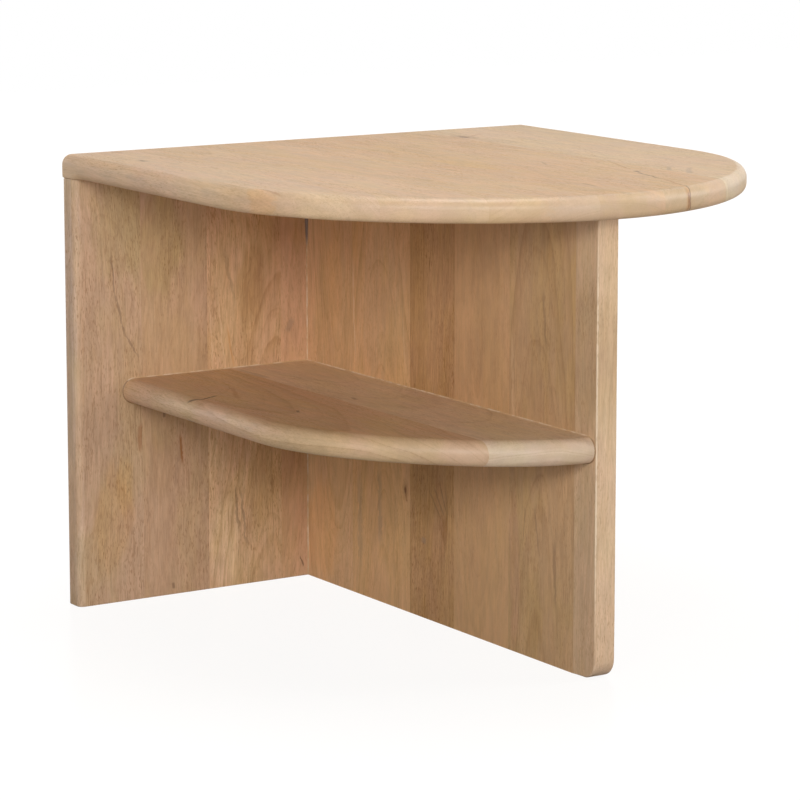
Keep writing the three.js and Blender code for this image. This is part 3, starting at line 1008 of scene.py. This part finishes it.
CENTRE_WOODS = [
    # The first two boards, deepest in the bay, are mixed about a tenth lighter than the rest: partly their
    # own tone, partly painted light reaching into the corner.
    dict(tone=mixed(1.12, honey=3, rose=2, amber=3), heart=centre_heart(62, 70), lean=-0.14, olive=0.3,
         figure=0.8,
         patches=[(30, 60, 34, 60, 0.6, (1.06, 0.97, 0.84), 0.7),
             (22, 300, 16, 60, 1.0, (0.9, 0.92, 0.86), 0.7),
             (54, 350, 14, 70, 1.0, (1.06, 1.02, 0.96), 0.7)]),
    dict(tone=mixed(1.11, amber=3, honey=1), heart=centre_heart(160, 20), lean=0.14, figure=0.6,
         knots=[(206, 136, 2.6)],
         streaks=[(96, 385, 104, 262, 1.8, 4, (0.74, 0.52, 0.32), 0.55),
             (111, 150, 113, 20, 7, 5, ASH, 0.3), (152, 156, 155, 60, 6, 6, ASH, 0.35),
             (99, 380, 102, 270, 1.4, 3, STRAW, 0.4), (207, 133, 209, 122, 2.0, 1, RUST, 0.7),
             (200, 330, 206, 255, 1.4, 4, STRAW, 0.3)],
         # This patch cools and darkens the upper bay: painted shade under the top.
         patches=[(160, 345, 54, 90, 0.7, (0.93, 0.97, 1.03), 0.8)]),
    dict(tone=mixed(1.0, amber=3, umber=1), heart=centre_heart(330, 60), figure=0.5, grain=1.3, olive=0.9,
         streaks=[(243, 90, 242, 82, 6, 3, ASH, 0.5), (262, 150, 284, 118, 1.6, 5, BARK, 0.5),
             (272, 160, 289, 120, 1.6, 5, BARK, 0.5), (252, 146, 280, 112, 1.6, 5, BARK, 0.4),
             (286, 150, 290, 118, 1.4, 4, BARK, 0.4)],
         patches=[(286, 106, 9, 15, 2.4, (0.72, 0.64, 0.6), 0.8),
             (258, 140, 42, 34, 1.5, (0.87, 0.86, 0.8), 0.8)]),
    dict(tone=mixed(0.94, amber=5, rose=1), heart=centre_heart(347, 44), lean=-0.13, figure=0.28,
         grain=0.35, blush=0.3, olive=0.3,
         # This patch darkens the upper bay: painted shade under the top.
         patches=[(372, 345, 34, 90, 0.7, (0.93, 0.93, 0.94), 0.8)]),
    dict(tone=mixed(0.93, rose=1, amber=2, olive=1), heart=centre_heart(455, 40), lean=0.1, figure=0.7,
         olive=0.9,
         streaks=[(487, 135, 491, 58, 4, 10, BARK, 0.35), (464, 392, 471, 325, 3, 7, BARK, 0.35),
             (435, 160, 432, 118, 1.6, 5, BARK, 0.35), (452, 162, 460, 112, 1.6, 5, BARK, 0.35),
             (410, 345, 412, 240, 2.5, 6, STRAW, 0.25)],
         patches=[(415, 90, 9, 90, 0.8, (0.98, 0.92, 1.0), 0.9),
             # This patch darkens the upper bay: painted shade under the top.
             (465, 345, 52, 90, 0.7, (0.9, 0.89, 0.89), 0.9)]),
    dict(tone=mixed(0.98, honey=20, rose=10, cream=3), heart=centre_heart(620, 50), figure=0.3, grain=0.8,
         olive=0.2,
         # A pale line down the front arris: painted highlight, partly wear.
         streaks=[(558.8, 40, 558.8, 480, 1.15, 0.2, ARRIS_WEAR_AND_HIGHLIGHT, 0.85)],
         # This patch darkens the upper bay: painted shade under the top.
         patches=[(541, 335, 30, 74, 0.6, (0.85, 0.82, 0.76), 0.9)]),
]
finish_boards(centre_boards, CENTRE_WOODS, ALONG_Z_SIDEWAYS, "panel_wood", 51, on_centre, blush=0.4)


# %% [markdown]
# ## The shelf
#
# The shelf is a quarter of a D, square against both panels. Its free edge is a full bullnose: two quarter
# rounds, each of half the thickness, meet in a half circle.

# %% Shelf surface
SHELF_NOSE = (SHELF_HIGH[2] - SHELF_LOW[2]) / 2
NOSE_SANDED_AND_LIT = 0.45


def shelf_grid():
    """The outline starts at the back panel, runs along the short straight side and the curve to the centre
    panel, and closes square at the inner corner. Returns the grid and how far it is sanded and lit: the nose
    is paled for wear and as a painted highlight."""
    low, high = SHELF_LOW, SHELF_HIGH
    front = (high[0], low[1])
    points, inward = bowed_side(low[0], high[1], SHELF_SIDE_LENGTH, front, SHELF_HANDLE_SHARE)
    points, inward = np.concatenate([points, [high[:2]]]), np.concatenate([inward, [(0, 0)]])
    whole = np.ones(len(points))
    profile = edge_profile(high[2] - low[2], SHELF_NOSE, SHELF_NOSE)
    return carried_slab(points, inward, whole, whole, profile, low[2]), NOSE_SANDED_AND_LIT * profile[3][:, None]


shelf_boards = sawn_slab("shelf", 0, *shelf_grid())
SHELF_WOODS = [
    dict(tone=mixed(1.01, honey=2, rose=2, olive=1), heart=(-0.2, 0.16), olive=0.4, blush=0.8,
         streaks=[(61, 163, 72, 181, 2.2, 1, SOOT, 0.75), (69, 180, 97, 167, 2.6, 2, SOOT, 0.8),
             (136, 128, 104, 200, 4, 8, RUST, 0.35), (124, 288, 118, 300, 2.4, 2, SOOT, 0.7)],
         patches=[(70, 250, 12, 80, 0.8, (1.06, 1.03, 1.08), 0.8),
             (60, 100, 12, 70, 0.8, (1.03, 1.03, 1.14), 0.8),
             (105, 445, 36, 40, 0.8, (1.09, 1.09, 1.07), 0.9)]),
    dict(tone=mixed(1.03, honey=2, cream=3, olive=1), heart=(-0.06, 0.12), olive=0.45,
         streaks=[(212, 254, 208, 270, 3, 3, BARK, 0.5), (198, 30, 197, 110, 6, 6, ASH, 0.35)],
         patches=[(240, 584, 60, 18, 0.8, (0.98, 0.94, 0.93), 0.9)]),
]
finish_boards(shelf_boards, SHELF_WOODS, ALONG_Y, "shelf_wood", 71, from_above, figure=0.65, grain=0.55)


# %% [markdown]
# ## Beads of filler in the corners
#
# Where the shelf meets the panels, and the panels meet each other, the maker has wiped filler into the
# corner. It is a millimetre wide, and wider high in the upright corner, but shows as a fine line round the
# shelf and its nose. Each bead is a small cove: a quarter circle seen from outside, carried along the
# corner.

# %% Bead surface
COVE_STEPS = 4
BEAD_WIDTH = 1.1 * MM
BEAD_BED = 0.05 * MM


def cove_bead(name, path, up, off, width):
    """Point (i, k) is path point i, plus width(1 - sin a) up and width(1 - cos a) off the panel, at an angle
    a from 0 to a quarter turn. A last point, just inside the corner, closes the section."""
    a = np.linspace(0, math.pi / 2, COVE_STEPS + 1)[None, :, None]
    path, width = np.array(path), np.reshape(width, (-1, 1, 1))
    up, off = (np.broadcast_to(np.array(way, float), path.shape) for way in (up, off))
    arc = path[:, None] + up[:, None] * width * (1 - np.sin(a)) + off[:, None] * width * (1 - np.cos(a))
    bed = path - (up + off) * BEAD_BED
    mesh = closed_mesh(name, np.concatenate([arc, bed[:, None]], axis=1), 0.0)
    bm = bmesh.new()
    bm.from_mesh(mesh)
    bmesh.ops.recalc_face_normals(bm, faces=bm.faces[:])
    bm.to_mesh(mesh)
    bm.free()
    return finished_piece(name, mesh)


# %% Bead paths and finish
NOSE_STEPS = 14
CORNER_POINTS = 24
CORNER_SHARE, GAP_SHARE = 0.9, 2.2
GAP_LOW, GAP_HIGH = BACK_HIGH[2] - 110 * MM, BACK_HIGH[2] - 40 * MM


def nose_path(start, end, fixed_axis, fixed_value):
    """Round the end of the shelf as the panel sees it: along the top face to the nose, half a circle down
    round it, and back along the underside. Returns the path and, at each point, the way off the shelf."""
    way = math.copysign(1, end - start)
    angle = np.linspace(math.pi / 2, -math.pi / 2, NOSE_STEPS + 1)
    outward = np.concatenate([[0], way * np.cos(angle), [0]])
    rise = np.concatenate([[1.0], np.sin(angle), [-1.0]])
    run = end - way * SHELF_NOSE + SHELF_NOSE * outward
    run[[0, -1]] = start
    path = np.stack([np.full_like(run, fixed_value), run, SHELF_LOW[2] + SHELF_NOSE * (1 + rise)], axis=1)
    off_shelf = np.stack([np.zeros_like(run), outward, rise], axis=1)
    order = [0, 1, 2] if fixed_axis == 0 else [1, 0, 2]
    return path[:, order], off_shelf[:, order]


def bead_material():
    """Cream, but brown round the shelf's nose below its top face, partly the oiled glue and partly painted
    shade under the shelf, and dark high in the upright corner, where a gap shows. Noise soils it in places."""
    material, tree, principled = new_material("filler bead")
    here = add(tree, "TexCoord", "Object")
    soil = ease(noise(here, (70, 70, 70), 3), 0.35, 0.62)
    height = parts(here)[2]
    under = ease(height, SHELF_LOW[2] - 2 * MM, SHELF_LOW[2] - 1 * MM)
    nose_glue_and_shade = under * ease(height, SHELF_HIGH[2], SHELF_HIGH[2] - 3 * MM)
    gap = ease(height, BACK_HIGH[2] - 100 * MM, BACK_HIGH[2] - 80 * MM)
    colour = blend(soil, mixed(0.98, cream=3, honey=1), mixed(0.86, amber=1, honey=1))
    # Brown round the nose: partly glue, partly painted shade.
    colour = blend(nose_glue_and_shade, colour, mixed(0.62, amber=1, umber=1))
    colour = blend(gap, colour, (0.23, 0.17, 0.14))
    plug(principled.inputs["Base Color"], colour)
    plug(principled.inputs["Roughness"], soil * 0.2 + 0.45)
    return material


corner = (CENTRE_LOW[0], BACK_LOW[1])
beads = []
for axis, panel in enumerate(("centre", "back")):
    off_panel = [-float(i == axis) for i in range(3)]
    path, off_shelf = nose_path(corner[1 - axis], SHELF_LOW[1 - axis], axis, corner[axis])
    beads.append(cove_bead("filler_bead_shelf_" + panel, path, off_shelf, off_panel, BEAD_WIDTH))
for name, bottom, top in (("lower", 0.0, SHELF_LOW[2]), ("upper", SHELF_HIGH[2], BACK_HIGH[2])):
    heights = np.linspace(bottom, top, CORNER_POINTS)
    path = [(*corner, height) for height in heights]
    width = BEAD_WIDTH * (CORNER_SHARE + GAP_SHARE * smooth_rise(heights, GAP_LOW, GAP_HIGH))
    beads.append(cove_bead("filler_bead_corner_" + name, path, (-1, 0, 0), (0, -1, 0), width))
filler = bead_material()
for bead in beads:
    bead.data.materials.append(filler)
    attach(bead, "root")
print("beads:", [bead.name for bead in beads])


# %% [markdown]
# ## The dowels
#
# The dowels are sealed inside the joints, but the model can be taken apart, so they get a dry, pale wood.
# Their fluted shape is right as it comes from the frame.

# %% Dowel finish
DOWEL_WAYS = {
    "top": ALONG_Z, "corner": ALONG_Y, "shelf_dowel_back": ALONG_Y, "shelf_dowel_centre": ALONG_X,
}
DOWEL_LOOK = {"heart": (0.0, 0.3), "lean": 0.0, "figure": 0.3, "rings": 500, "wander": 0.002, "sway": 0.004}
for prefix, axes in DOWEL_WAYS.items():
    title = "dowel wood " + prefix.replace("_", " ")
    material = board_wood(title, axes, 91, mixed(1.05, cream=2, honey=1), **DOWEL_LOOK)
    dowels = [o for name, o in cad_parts.items() if "dowel" in name and name.startswith(prefix)]
    for dowel in dowels:
        dowel.data.materials.clear()
        dowel.data.materials.append(material)
    print(prefix, "dowels:", len(dowels))
